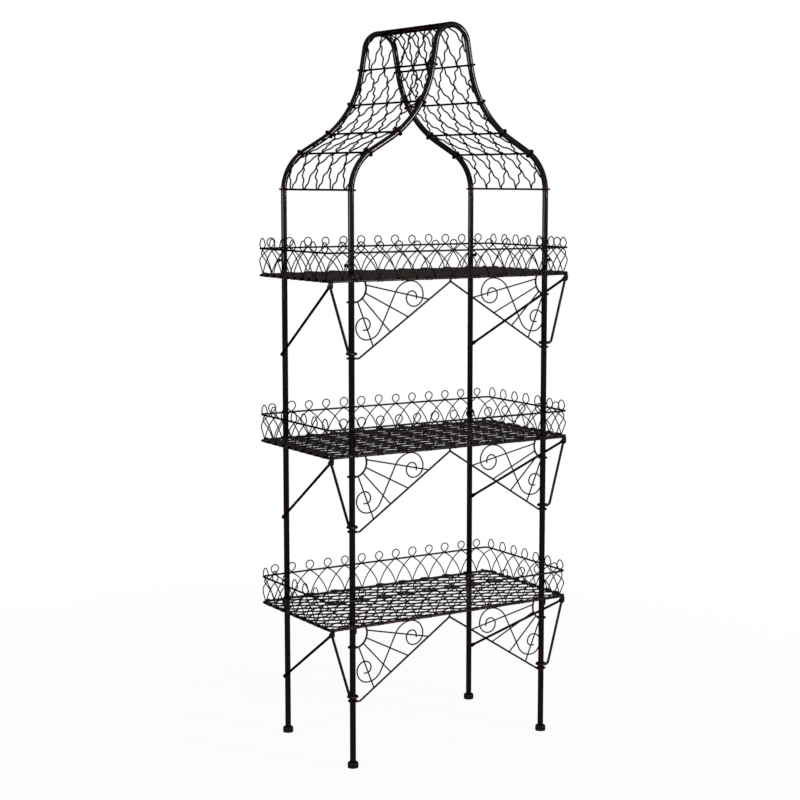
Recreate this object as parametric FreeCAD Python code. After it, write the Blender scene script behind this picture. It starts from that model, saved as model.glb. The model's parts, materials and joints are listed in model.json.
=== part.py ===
import FreeCAD, Part
import math
import os

# Three-tier bakers rack of steel tube and wire. Four tube posts carry two ogee arches with a
# wire-mesh canopy, and three trays with hooped galleries, fan brackets and side braces.
# Sizes are in millimetres. X runs along the trays, -Y is the front, +Z is up, the floor is zero.

Vector = FreeCAD.Vector
RIGHT = Vector(1, 0, 0)
BACK = Vector(0, 1, 0)
UP = Vector(0, 0, 1)
ORIGIN = Vector(0, 0, 0)

# Posts and feet
post_spacing_y = 366.0
post_diameter = 16.0
post_wall = 1.2
foot_diameter = 29.0
foot_height = 16.0
foot_sole = 4.0
foot_edge_radius = 5.0
foot_clearance = 0.15

# Canopy arches, along the centre line of the tube, with bend radii as shares of the arch's size:
# half its span, or that share of its rise where the arch is flat
shoulder_rise = 227.0
canopy_rise = 437.0
arch_size_share = 0.7065
shoulder_radius_share = 0.4052
shoulder_turn = 60.0
flare_radius_share = 0.8752
flare_turn = 50.0
crown_radius_share = 0.1588
ridge_diameter = 16.0

# Canopy tie rods, by their shares of the way along the arch from shoulder to crest, and mesh
tie_rod_diameter = 5.0
tie_rod_shares = (0.0105, 0.2118, 0.3956, 0.5863, 0.7674)
canopy_wire_diameter = 3.2
canopy_diamonds = 5
canopy_slip_shares = (-0.25, -0.55)
canopy_shortest_share = 0.4
canopy_wave = 3.4
canopy_half_waves = 4
canopy_end_gap = 0.5

# Sleeve joint between the posts and the arches
joint_rise = 22.0
spigot_length = 90.0
spigot_clearance = 0.15
joint_screw_rise = 18.0

# Trays
tray_length = 762.0
tray_overhang = 72.5
tray_post_gap = 0.6
bottom_rim_height = 383.0
tray_pitch = 457.0
tray_names = ("bottom", "middle", "top")
rim_diameter = 6.0
rim_corner_radius = 12.0
deck_wire_diameter = 3.8
deck_diamonds_x = 10
deck_diamonds_y = 10
deck_wave = 2.2
deck_half_waves = 2
deck_post_gap = 0.3
deck_bow_share = 0.35

# Gallery round each tray
rail_rise = 73.0
rail_diameter = 4.8
hoop_wire_diameter = 2.6
hoops_long = 13
hoops_short = 7
hoop_reach_share = 0.93
loop_radius = 11.0
loop_rise = 15.0
loop_settle_share = 0.55

# Fan brackets under the front of each tray
fan_rod_diameter = 4.5
collar_drop = 55.0
collar_run = 8.0
collar_radius = 37.0
diagonal_drop = 201.0
diagonal_run = 6.0
diagonal_bend_radius = 16.0
spoke_diameter = 3.0
spoke_collar_angles = (-9.0, 22.0, 47.0, 72.0)
spoke_shares = (0.75, 0.54, 0.35, 0.17)

# Scrolls of the brackets, as shares of the radius of the circle that fits in a bracket
scroll_diameter = 3.0
scroll_middle_shares = (1.5145, 1.1606)
scroll_lean = 64.0
upper_scroll_shares = (0.7077, 0.7643, 0.5379)
upper_tightening_share = 0.775
upper_quarters = 5
lower_scroll_shares = (0.7785, 0.6369, 0.4671)
lower_tightening_share = 0.745
lower_quarters = 4
scroll_tip_share = 0.0991

# Side braces
brace_rod_diameter = 5.5
strut_drop = 189.0
strut_run = 3.0
strut_bend_radius = 10.0
brace_corner_drop = 13.0
brace_corner_inset = 6.0
stay_drop = 220.0
tongue_width = 10.0
tongue_thickness = 3.0
tongue_length = 13.0

# Lugs, tabs and screws
lug_width = 14.0
lug_thickness = 2.5
lug_drop = 13.0
screw_diameter = 5.0
screw_clearance = 0.15
head_diameter = 10.0
head_height = 4.0
nut_width = 9.0
nut_height = 4.0

# Rod eyes and contacts
eye_clearance = 0.15
eye_opening = 64.0
wire_contact_gap = 0.05
cut_overrun = 1.0

# Derived places
half_length = tray_length / 2
half_x = half_length - tray_overhang
half_y = post_spacing_y / 2
post_radius = post_diameter / 2
rim_radius = rim_diameter / 2
half_depth = half_y + post_radius + tray_post_gap + rim_radius
rim_heights = {name: bottom_rim_height + tray_pitch * i for i, name in enumerate(tray_names)}
shoulder_height = rim_heights["top"] + shoulder_rise
crest_height = shoulder_height + canopy_rise
arch_size = min(half_x, canopy_rise * arch_size_share)
canopy_half_cell = post_spacing_y / canopy_diamonds / 2
scroll_size = (half_x + diagonal_drop - math.hypot(half_x, diagonal_drop)) / 2
joint_height = rim_heights["top"] + joint_rise
joint_screw_height = joint_height + joint_screw_rise
plate_back = half_y + post_radius + eye_clearance
plate_front = plate_back + lug_thickness
corner_x = half_length - brace_corner_inset
hole_radius = screw_diameter / 2 + screw_clearance
post_places = {
    "front_left": (-half_x, -half_y),
    "front_right": (half_x, -half_y),
    "rear_left": (-half_x, half_y),
    "rear_right": (half_x, half_y),
}


# Paths of lines and arcs

def unit(vector):
    """The vector at length one."""
    return vector / vector.Length


def arc_edge(start, tangent, end):
    """The arc that leaves start along tangent and reaches end, or the line if they are in line."""
    chord = end - start
    along = unit(chord)
    side = tangent - along * tangent.dot(along)
    if side.Length < 1e-6:
        return Part.LineSegment(start, end).toShape()
    angle = math.atan2(side.Length, tangent.dot(along))
    rise = chord.Length / 2 * math.tan(angle / 2)
    return Part.Arc(start, (start + end) / 2 + unit(side) * rise, end).toShape()


def biarc_edges(start, start_tangent, end, end_tangent):
    """Two tangent arcs from start to end, or one where a single arc does it."""
    span = end - start
    both = start_tangent + end_tangent
    bend = 2 * (1 - start_tangent.dot(end_tangent))
    if bend < 1e-9:
        reach = span.dot(span) / (4 * span.dot(end_tangent))
    else:
        reach = (math.sqrt(span.dot(both) ** 2 + bend * span.dot(span)) - span.dot(both)) / bend
    middle = (start + end + (start_tangent - end_tangent) * reach) / 2
    if unit(both).cross(unit(span)).Length < 1e-6:
        return [arc_edge(start, start_tangent, end)]
    turn = unit(end - end_tangent * reach - start - start_tangent * reach)
    return [arc_edge(start, start_tangent, middle), arc_edge(middle, turn, end)]


def curve_edges(curve, stations):
    """Tangent arcs through the points of a curve at the given stations."""
    step = 1e-4
    points = [curve(t) for t in stations]
    tangents = [unit(curve(t + step) - curve(t - step)) for t in stations]
    edges = []
    for i in range(len(stations) - 1):
        edges += biarc_edges(points[i], tangents[i], points[i + 1], tangents[i + 1])
    return edges


def stations_between(first, last, step):
    """The ends, and every multiple of step between them that isn't too close to an end."""
    inner = range(math.ceil(first / step), math.floor(last / step) + 1)
    room = step / 4
    kept = [i * step for i in inner if first + room < i * step < last - room]
    return [first] + kept + [last]


def walk_edges(x, z, heading, moves, y):
    """Edges of a walk in an upright plane: a move is (length,) or (radius, turn in degrees)."""
    edges = []
    for move in moves:
        x1, z1, heading1 = walk_on(x, z, heading, move, 1.0)
        start = Vector(x, y, z)
        end = Vector(x1, y, z1)
        angle = math.radians(heading)
        edges.append(arc_edge(start, Vector(math.cos(angle), 0, math.sin(angle)), end))
        x, z, heading = x1, z1, heading1
    return edges


def walk_on(x, z, heading, move, share):
    """The place and heading after a share of one move, with left turns positive."""
    angle = math.radians(heading)
    if len(move) == 1:
        run = move[0] * share
        return x + run * math.cos(angle), z + run * math.sin(angle), heading
    radius, turn = move
    side = math.copysign(radius, turn)
    end = angle + math.radians(turn * share)
    x += side * (math.sin(end) - math.sin(angle))
    z -= side * (math.cos(end) - math.cos(angle))
    return x, z, math.degrees(end)


def move_length(move):
    """The length of one move along its path."""
    return move[0] if len(move) == 1 else move[0] * math.radians(abs(move[1]))


def rounded_edges(points, radius):
    """Straight runs through the points, joined by tangent arcs of one radius."""
    edges = []
    start = points[0]
    for before, corner, after in zip(points, points[1:], points[2:]):
        into = unit(corner - before)
        out = unit(after - corner)
        setback = radius * math.tan(into.getAngle(out) / 2)
        bend_start = corner - into * setback
        bend_end = corner + out * setback
        if (bend_start - start).Length > wire_contact_gap:
            edges.append(Part.LineSegment(start, bend_start).toShape())
        edges.append(arc_edge(bend_start, into, bend_end))
        start = bend_end
    edges.append(Part.LineSegment(start, points[-1]).toShape())
    return edges


def eye_edges(x, y, z, radius, side):
    """An open eye round an upright post, whose tail leaves the front towards +X or -X."""
    places = []
    for turned in (360.0 - eye_opening, (360.0 - eye_opening) / 2, 0.0):
        angle = math.radians(-90.0 - side * turned)
        places.append(Vector(x + radius * math.cos(angle), y + radius * math.sin(angle), z))
    return [Part.Arc(*places).toShape()]


def rod(edges, diameter):
    """A round rod along a chain of edges."""
    first = edges[0]
    start = first.valueAt(first.FirstParameter)
    heading = first.tangentAt(first.FirstParameter)
    section = Part.Wire(Part.makeCircle(diameter / 2, start, heading))
    return Part.Wire(edges).makePipeShell([section], True, False)


def bar(start, end, diameter):
    """A straight round bar from start to end."""
    run = end - start
    return Part.makeCylinder(diameter / 2, run.Length, start, run)


def mirrored(shape):
    """The same piece on the other side of the rack."""
    return shape.mirror(ORIGIN, RIGHT)


def both_sides(shape):
    """A left-hand piece and its right-hand twin as one group."""
    return Part.Compound([shape, mirrored(shape)])


# Screws, lugs and flattened rod ends

def along(shape, place, direction):
    """A shape modelled up the Z axis, moved to a place and turned to point along a direction."""
    moved = shape.copy()
    moved.Placement = FreeCAD.Placement(place, FreeCAD.Rotation(UP, direction))
    return moved


def screw(seat, inward, reach):
    """A domed screw whose head sits on seat and whose shank runs inward by reach."""
    dome_radius = (head_height ** 2 + (head_diameter / 2) ** 2) / (2 * head_height)
    dome = Part.makeSphere(dome_radius, Vector(0, 0, dome_radius - head_height))
    head = dome.common(Part.makeCylinder(head_diameter / 2, head_height, Vector(0, 0, -head_height)))
    shank = Part.makeCylinder(screw_diameter / 2, reach)
    return along(head.fuse(shank).removeSplitter(), seat, inward)


def nut(seat, outward):
    """A hexagon nut on seat, with the screw's hole through it."""
    corner_radius = nut_width / math.sqrt(3)
    corners = [Vector(corner_radius * math.cos(math.radians(60 * i)),
                      corner_radius * math.sin(math.radians(60 * i)), 0) for i in range(7)]
    block = Part.Face(Part.makePolygon(corners)).extrude(UP * nut_height)
    return along(block.cut(Part.makeCylinder(screw_diameter / 2, nut_height)), seat, outward)


def tongue(hole, normal, direction, width, thickness, length):
    """A flat tongue with a round end about a screw hole, running from the hole along a direction."""
    back = hole - normal * (thickness / 2)
    across = normal.cross(direction)
    corners = [back - across * (width / 2), back + across * (width / 2)]
    corners += [corner + direction * length for corner in reversed(corners)]
    plate = Part.Face(Part.makePolygon(corners + corners[:1])).extrude(normal * thickness)
    plate = plate.fuse(Part.makeCylinder(width / 2, thickness, back, normal))
    bore_start = back - normal * cut_overrun
    return plate.cut(Part.makeCylinder(hole_radius, thickness + 2 * cut_overrun, bore_start, normal))


# Posts, feet and sleeve joints

def tube(x, y, bottom, top):
    """An upright length of post tube."""
    outer = Part.makeCylinder(post_radius, top - bottom, Vector(x, y, bottom))
    return outer.cut(Part.makeCylinder(post_radius - post_wall, top - bottom, Vector(x, y, bottom)))


def wall_hole(x, y, z, outward):
    """The cutter for a screw hole through one wall of a post."""
    return Part.makeCylinder(hole_radius, post_diameter, Vector(x, y, z), outward)


def post(x, y):
    """A post with its screw holes: rear posts take the stays, all take the bottom tray's lugs."""
    outward = RIGHT * math.copysign(1, x)
    shape = tube(x, y, foot_sole, joint_height)
    shape = shape.cut(wall_hole(x, y, rim_heights["bottom"] - lug_drop, BACK * math.copysign(1, y)))
    if y > 0:
        for height in rim_heights.values():
            shape = shape.cut(wall_hole(x, y, height - stay_drop, outward))
    return shape


def foot(x, y):
    """A bun-shaped cup that the end of a post stands in."""
    bun = Part.makeCylinder(foot_diameter / 2, foot_height, Vector(x, y, 0))
    top_edge = [edge for edge in bun.Edges if edge.BoundBox.ZMin > foot_height / 2]
    bun = bun.makeFillet(foot_edge_radius, top_edge)
    bore = Part.makeCylinder(post_radius + foot_clearance, foot_height, Vector(x, y, foot_sole))
    return bun.cut(bore)


def spigot(x, y):
    """The sleeve inside a post's top end, which the arch's leg slides over."""
    radius = post_radius - post_wall - spigot_clearance
    sleeve = Part.makeCylinder(radius, spigot_length, Vector(x, y, joint_height - spigot_length / 2))
    return sleeve.cut(wall_hole(x, y, joint_screw_height, RIGHT * math.copysign(1, x)))


def joint_screw(x, y):
    """The screw that holds an arch's leg on its spigot."""
    outward = RIGHT * math.copysign(1, x)
    seat = Vector(x, y, joint_screw_height) + outward * post_radius
    return screw(seat, outward * -1, post_radius)


# Canopy

def ogee_moves():
    """Half of an arch from its shoulder to its crest, on the left.

    The straight flank and neck are as long as the span and the height need.
    """
    crown_turn = 90.0 - shoulder_turn + flare_turn
    bends = [(arch_size * shoulder_radius_share, -shoulder_turn),
             (arch_size * flare_radius_share, flare_turn),
             (arch_size * crown_radius_share, -crown_turn)]
    x, z, heading = -half_x, shoulder_height, 90.0
    headings = []
    for bend in bends:
        x, z, heading = walk_on(x, z, heading, bend, 1.0)
        headings.append(math.radians(heading))
    flank_x, flank_z = math.cos(headings[0]), math.sin(headings[0])
    neck_x, neck_z = math.cos(headings[1]), math.sin(headings[1])
    scale = flank_x * neck_z - flank_z * neck_x
    flank = (-x * neck_z - (crest_height - z) * neck_x) / scale
    neck = ((crest_height - z) * flank_x + x * flank_z) / scale
    return [bends[0], (flank,), bends[1], (neck,), bends[2]]


def crest_rise():
    """The length of half an arch, from its shoulder to its crest."""
    return sum(move_length(move) for move in ogee_moves())


def arch_station(rise):
    """The place and heading at a distance along the left half of an arch, from its shoulder."""
    x, z, heading = -half_x, shoulder_height, 90.0
    if rise < 0:
        return x, z + rise, heading
    for move in ogee_moves():
        length = move_length(move)
        if rise <= length:
            return walk_on(x, z, heading, move, rise / length)
        x, z, heading = walk_on(x, z, heading, move, 1.0)
        rise -= length
    return walk_on(x, z, heading, (rise,), 1.0)


def arch(y):
    """An arch of tube whose two legs slide over the spigots."""
    rising = [(shoulder_height - joint_height,)] + ogee_moves()
    edges = walk_edges(-half_x, joint_height, 90.0, rising + rising[::-1], y)
    shape = rod(edges, post_diameter).cut(rod(edges, post_diameter - 2 * post_wall))
    for side in (-1, 1):
        shape = shape.cut(wall_hole(side * half_x, y, joint_screw_height, RIGHT * side))
    return shape


def ridge_bar():
    """The bar between the crests, with its ends coped to the arches."""
    bar_half = half_y - post_radius / 2
    shape = bar(Vector(0, -bar_half, crest_height), Vector(0, bar_half, crest_height), ridge_diameter)
    rising = ogee_moves()[-1:]
    start = arch_station(sum(move_length(move) for move in ogee_moves()[:-1]))
    for y in (-half_y, half_y):
        shape = shape.cut(rod(walk_edges(*start, rising + rising, y), post_diameter))
    return shape


def tie_rod(share):
    """A rod across the canopy with an eye round each arch, on the left."""
    x, z, heading = arch_station(share * crest_rise())
    angle = math.radians(heading)
    eye_radius = post_radius + eye_clearance + tie_rod_diameter / 2
    shape = bar(Vector(x, eye_radius - half_y, z), Vector(x, half_y - eye_radius, z), tie_rod_diameter)
    for y in (-half_y, half_y):
        tube_heading = Vector(math.cos(angle), 0, math.sin(angle))
        shape = shape.fuse(Part.makeTorus(eye_radius, tie_rod_diameter / 2, Vector(x, y, z), tube_heading))
    return shape


def canopy_wire(lean, index, first, last, slip):
    """One crimped wire of the canopy mesh, on the left, between two stations.

    It climbs half a diamond across the depth for each half bay between the tie rods, with a sine
    wave sideways in the sheet, and follows the curve of the arches. It passes over and under the
    wires that it crosses by turns, and lies on a tie rod or on the wire that lies there.
    """
    bays = len(tie_rod_shares)
    rises = [share * crest_rise() for share in tie_rod_shares]
    rises.append(crest_rise() - ridge_diameter / 2 - canopy_end_gap)
    weave = (canopy_wire_diameter + wire_contact_gap) / 2
    sheet_lift = (tie_rod_diameter + canopy_wire_diameter) / 2 + wire_contact_gap + weave

    def curve(t):
        bay = min(max(int(t // 2), 0), bays - 1)
        bay_rise = rises[bay + 1] - rises[bay]
        lift = sheet_lift + lean * weave * math.cos(math.pi * t)
        climb = unit(Vector(bay_rise / 2, lean * canopy_half_cell, 0))
        swing = canopy_wave * math.sin(math.pi * canopy_half_waves * t)
        rise = rises[bay] + bay_rise * (t / 2 - bay) - climb.y * swing
        y = lean * canopy_half_cell * (t + index) + slip + climb.x * swing
        x, z, heading = arch_station(rise)
        angle = math.radians(heading)
        return Vector(x - lift * math.sin(angle), y, z + lift * math.cos(angle))

    return rod(curve_edges(curve, stations_between(first, last, 1 / canopy_half_waves)), canopy_wire_diameter)


def canopy_mesh(slip_share):
    """A left slope of crimped and woven mesh, cut with its diamonds slipped along the depth."""
    slip = 2 * slip_share * canopy_half_cell
    reach = half_y - post_radius - canopy_wire_diameter
    top = 2 * len(tie_rod_shares)
    wires = []
    for lean in (1, -1):
        for index in range(canopy_diamonds + 1, -canopy_diamonds - top - 2, -2):
            first = max(0.0, (-reach - lean * slip) / canopy_half_cell - index)
            last = min(top, (reach - lean * slip) / canopy_half_cell - index)
            if last - first > canopy_shortest_share and math.floor(last) >= math.ceil(first):
                wires.append(canopy_wire(lean, index, first, last, slip))
    return Part.Compound(wires)


# Trays

def tray_ring(z, diameter):
    """A closed ring of rod with round corners, on the outline of a tray."""
    x, y = half_length, half_depth
    corners = [Vector(0, -y, z), Vector(x, -y, z), Vector(x, y, z), Vector(-x, y, z), Vector(-x, -y, z)]
    return rod(rounded_edges(corners + corners[:1], rim_corner_radius), diameter)


def corner_tab(z):
    """The tab welded under the front left corner of a rim, for the brace screw."""
    hole = Vector(-corner_x, -(plate_back + plate_front) / 2, z - brace_corner_drop)
    return tongue(hole, BACK, UP, lug_width, lug_thickness, brace_corner_drop - rim_radius)


def tray_rim(z):
    """A rim with its two brace tabs."""
    return Part.Compound([tray_ring(z, rim_diameter), corner_tab(z), mirrored(corner_tab(z))])


def deck_wire(lean, index, z):
    """One crimped wire of a tray's deck.

    It runs along a diagonal of the diamonds with a sine wave sideways, lies on or under the wires
    that it crosses, and bows round a post that stands in its way.
    """
    cell_x = tray_length / deck_diamonds_x
    cell_y = 2 * half_depth / deck_diamonds_y
    run = unit(Vector(cell_x, -lean * cell_y, 0))
    side = Vector(-run.y, run.x, 0)
    wire_radius = deck_wire_diameter / 2
    room = post_radius + wire_radius + deck_post_gap
    layer = z + lean * (deck_wire_diameter + wire_contact_gap) / 2

    def line(t):
        return Vector(cell_x * (index + t) / 2, lean * cell_y * (index - t) / 2, layer)

    def curve(t):
        wave = deck_wave * math.sin(math.pi * deck_half_waves * t)
        for x, y in post_places.values():
            away = Vector(x, y, layer) - line(0)
            offset = away.dot(side)
            if abs(offset) < room + deck_wave:
                nearest = away.dot(run) / math.hypot(cell_x, cell_y) * 2
                near = math.exp(-((t - nearest) / deck_bow_share) ** 2)
                push = math.copysign(max(room - abs(offset), 0.0), -offset)
                wave = wave * (1 - near) + push * near
        return line(t) + side * wave

    contact = rim_radius + wire_contact_gap
    reach_x = 2 * (half_length - contact - wire_radius * abs(run.y)) / cell_x
    reach_y = 2 * (half_depth - contact - wire_radius * run.x) / cell_y
    first = max(-reach_x - index, index - reach_y)
    last = min(reach_x - index, index + reach_y)
    return rod(curve_edges(curve, stations_between(first, last, 1 / deck_half_waves)), deck_wire_diameter)


def deck(z):
    """The mesh deck of a tray, crimped wires in two crossing layers."""
    most = (deck_diamonds_x + deck_diamonds_y) // 2
    wires = []
    for lean in (1, -1):
        wires += [deck_wire(lean, index, z) for index in range(1 - most, most)]
    return Part.Compound(wires)


# Gallery

def outline_place(distance, z):
    """The place and outward direction on a tray's outline, from the middle of the front to the right."""
    corner = rim_corner_radius
    moves = [(half_length - corner,), (corner, 90.0), (2 * (half_depth - corner),), (corner, 90.0),
             (2 * (half_length - corner),), (corner, 90.0), (2 * (half_depth - corner),), (corner, 90.0),
             (half_length - corner,)]
    distance %= sum(move_length(move) for move in moves)
    x, y, heading = 0.0, -half_depth, 0.0
    for move in moves:
        length = move_length(move)
        if distance <= length:
            break
        x, y, heading = walk_on(x, y, heading, move, 1.0)
        distance -= length
    x, y, heading = walk_on(x, y, heading, move, distance / length)
    angle = math.radians(heading)
    return Vector(x, y, z), Vector(math.sin(angle), -math.cos(angle), 0)


def hoop_pitch():
    """The spacing of the hoops, which run on evenly round the corners."""
    length = 4 * (half_length + half_depth) - (8 - 2 * math.pi) * rim_corner_radius
    return length / (2 * hoops_long + 2 * hoops_short)


def hoop(centre, rim_height):
    """One hoop of gallery wire.

    A leg rises from the rim on an arc, crosses the inside of the rail, turns round a loop above
    it, crosses the outside of the rail and falls to the rim on a mirrored arc.
    """
    foot_rise = rim_radius
    reach = hoop_reach_share * hoop_pitch()
    crossing = math.acos(loop_radius / loop_rise)
    chord = math.atan2(rail_rise - foot_rise, reach)
    lean = chord - crossing
    leg_radius = math.hypot(reach, rail_rise - foot_rise) / (2 * math.sin(lean))
    neck = math.sqrt(loop_rise ** 2 - loop_radius ** 2)
    spread = (rail_diameter + hoop_wire_diameter) / 2 + wire_contact_gap

    def flat(t):
        if t <= 1:
            heading = chord + lean - 2 * lean * t
            across = leg_radius * (math.sin(chord + lean) - math.sin(heading)) - reach
            rise = leg_radius * (math.cos(heading) - math.cos(chord + lean)) + foot_rise
            return across, rise, spread * (rise - foot_rise) / (rail_rise - foot_rise)
        if t <= 2:
            run = neck * (t - 1)
            return run * math.cos(crossing), rail_rise + run * math.sin(crossing), spread
        angle = crossing - math.pi / 2 + (2 * math.pi - 2 * crossing) * (t - 2)
        rise = rail_rise + loop_rise + loop_radius * math.sin(angle)
        turned = min(2 * (t - 2) / loop_settle_share, 1.0)
        return loop_radius * math.cos(angle), rise, spread * (1 - turned) ** 2 * (1 + 2 * turned)

    def curve(t):
        mirror = 1 if t <= 2.5 else -1
        across, rise, out = flat(t if t <= 2.5 else 5 - t)
        place, outward = outline_place(centre + mirror * across, rim_height + rise)
        return place - outward * (mirror * out)

    leg = [i / 3 for i in range(3)]
    loop = [2 + i / 6 for i in range(7)]
    stations = leg + [1.0] + loop + [4.0] + [5 - t for t in reversed(leg)]
    return rod(curve_edges(curve, stations), hoop_wire_diameter)


def hoop_groups(rim_height):
    """The hoops on the long sides, on the short sides, and those whose legs reach round a corner."""
    reach = hoop_reach_share * hoop_pitch()
    groups = {"_hoops_front_rear": [], "_hoops_left_right": [], "_hoops_corners": []}
    for i in range(2 * (hoops_long + hoops_short)):
        centre = i * hoop_pitch()
        first, last = (outline_place(centre + side * reach, 0)[1] for side in (-1, 1))
        if (first - last).Length > 1e-6:
            group = "_hoops_corners"
        else:
            group = "_hoops_front_rear" if abs(first.y) > abs(first.x) else "_hoops_left_right"
        groups[group].append(hoop(centre, rim_height))
    return groups


# Fan brackets

fan_eye_radius = post_radius + eye_clearance + fan_rod_diameter / 2
fan_y = -half_y - fan_eye_radius


def collar(z):
    """The rod from an eye on the post round to the underside of the rim, on the left."""
    rise = collar_drop - collar_radius - rim_radius
    turn = 90.0 + math.degrees(math.asin(rise / collar_radius))
    moves = [(collar_run,), (collar_radius, turn)]
    edges = eye_edges(-half_x, -half_y, z - collar_drop, fan_eye_radius, 1)
    return rod(edges + walk_edges(-half_x, z - collar_drop, 0.0, moves, fan_y), fan_rod_diameter)


def diagonal_ends(z):
    """Where a bracket's diagonal leaves its eye, where it turns up, and where it meets the rim."""
    eye = Vector(-half_x, fan_y, z - diagonal_drop)
    turn = eye + RIGHT * (fan_eye_radius + diagonal_run)
    slope = math.atan2(diagonal_drop - rim_radius, -turn.x)
    end_drop = rim_radius + fan_rod_diameter / 2 * math.cos(slope)
    end = Vector(-fan_rod_diameter / 2 * math.sin(slope), fan_y, z - end_drop)
    return eye, turn, end


def diagonal(z):
    """The bracket's long rod, from an eye on the post to the middle of the rim, on the left."""
    edges = eye_edges(-half_x, -half_y, z - diagonal_drop, fan_eye_radius, 1)
    return rod(edges + rounded_edges(list(diagonal_ends(z)), diagonal_bend_radius), fan_rod_diameter)


def spokes(z):
    """The spokes from a collar to its diagonal, on the left."""
    centre = Vector(-half_x + collar_run, fan_y, z - collar_drop + collar_radius)
    turn, end = diagonal_ends(z)[1:]
    slope = unit(end - turn)
    bars = []
    for below, share in zip(spoke_collar_angles, spoke_shares):
        angle = math.radians(-below)
        start = centre + Vector(math.cos(angle), 0, math.sin(angle)) * collar_radius
        stop = turn + (end - turn) * share
        run = unit(stop - start)
        setback = (fan_rod_diameter / 2 + spoke_diameter / 2 * abs(run.dot(slope))) / run.cross(slope).Length
        bars.append(bar(start + run * (fan_rod_diameter / 2), stop - run * setback, spoke_diameter))
    return bars


def curl(shares, tightening, quarters):
    """Half of a scroll: a straight stem, a bow, quarter turns that tighten, and a straight tip."""
    stem, bow_radius, curl_radius = (share * scroll_size for share in shares)
    turns = [(curl_radius * tightening ** i, -90.0) for i in range(quarters)]
    return [(stem,), (bow_radius, -scroll_lean)] + turns + [(scroll_tip_share * scroll_size,)]


def scroll(z):
    """The S-shaped scroll behind the spokes, on the left."""
    y = fan_y + (spoke_diameter + scroll_diameter) / 2 + wire_contact_gap
    reach, drop = (share * scroll_size for share in scroll_middle_shares)
    upper = curl(upper_scroll_shares, upper_tightening_share, upper_quarters)
    lower = curl(lower_scroll_shares, lower_tightening_share, lower_quarters)
    up = walk_edges(reach - half_x, z - drop, scroll_lean, upper, y)
    down = walk_edges(reach - half_x, z - drop, scroll_lean + 180.0, lower, y)
    back_up = [arc_edge(edge.valueAt(edge.LastParameter), edge.tangentAt(edge.LastParameter) * -1,
                        edge.valueAt(edge.FirstParameter)) for edge in reversed(down)]
    return rod(back_up + up, scroll_diameter)


# Side braces

strut_eye_radius = post_radius + eye_clearance + brace_rod_diameter / 2


def brace_corner(z):
    """The screw hole at the front left corner, on the back of the tab."""
    return Vector(-corner_x, -plate_back, z - brace_corner_drop)


def strut(z):
    """The short brace rod, from an eye on the front post up to the corner tab, on the left."""
    hole = brace_corner(z) + BACK * (tongue_thickness / 2)
    eye = Vector(-half_x, -half_y - strut_eye_radius, z - strut_drop)
    turn = eye - RIGHT * (strut_eye_radius + strut_run)
    down = unit(Vector(turn.x - hole.x, 0, turn.z - hole.z))
    path = rounded_edges([eye, turn, hole + down * tongue_length], strut_bend_radius)
    edges = eye_edges(-half_x, -half_y, z - strut_drop, strut_eye_radius, -1) + path
    end = tongue(hole, BACK, down, tongue_width, tongue_thickness, tongue_length)
    return rod(edges, brace_rod_diameter).fuse(end)


def stay(z):
    """The long brace rod, from the corner tab back to the outer side of the rear post, on the left."""
    front = brace_corner(z) + BACK * (tongue_thickness * 1.5)
    rear = Vector(-half_x - post_radius - tongue_thickness / 2, half_y, z - stay_drop)
    run = rear - front
    down = unit(Vector(run.x, 0, run.z))
    forward = unit(Vector(0, -run.y, -run.z))
    shape = bar(front + down * tongue_length, rear + forward * tongue_length, brace_rod_diameter)
    for end in (front + down * tongue_length, rear + forward * tongue_length):
        shape = shape.fuse(Part.makeSphere(brace_rod_diameter / 2, end))
    shape = shape.fuse(tongue(front, BACK, down, tongue_width, tongue_thickness, tongue_length))
    return shape.fuse(tongue(rear, RIGHT, forward, tongue_width, tongue_thickness, tongue_length))


def brace_screws(z):
    """The corner screw with its nut, and the screw into the rear post, on the left."""
    seat = brace_corner(z) - BACK * lug_thickness
    stack = lug_thickness + 2 * tongue_thickness
    rear = Vector(-half_x - post_radius - tongue_thickness, half_y, z - stay_drop)
    return [screw(seat, BACK, stack + nut_height), nut(seat + BACK * stack, BACK),
            screw(rear, RIGHT, tongue_thickness + post_radius)]


# Lugs of the bottom tray

def lug(x, y, z):
    """A lug that hangs from the rim on the outer face of a post."""
    outward = BACK * math.copysign(1, y)
    hole = Vector(x, 0, z - lug_drop) + outward * ((plate_back + plate_front) / 2)
    return tongue(hole, BACK, UP, lug_width, lug_thickness, lug_drop - rim_radius)


def lug_screw(x, y, z):
    """The screw through a lug into the post."""
    outward = BACK * math.copysign(1, y)
    seat = Vector(x, 0, z - lug_drop) + outward * plate_front
    return screw(seat, outward * -1, plate_front - half_y)


# Assembly

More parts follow.
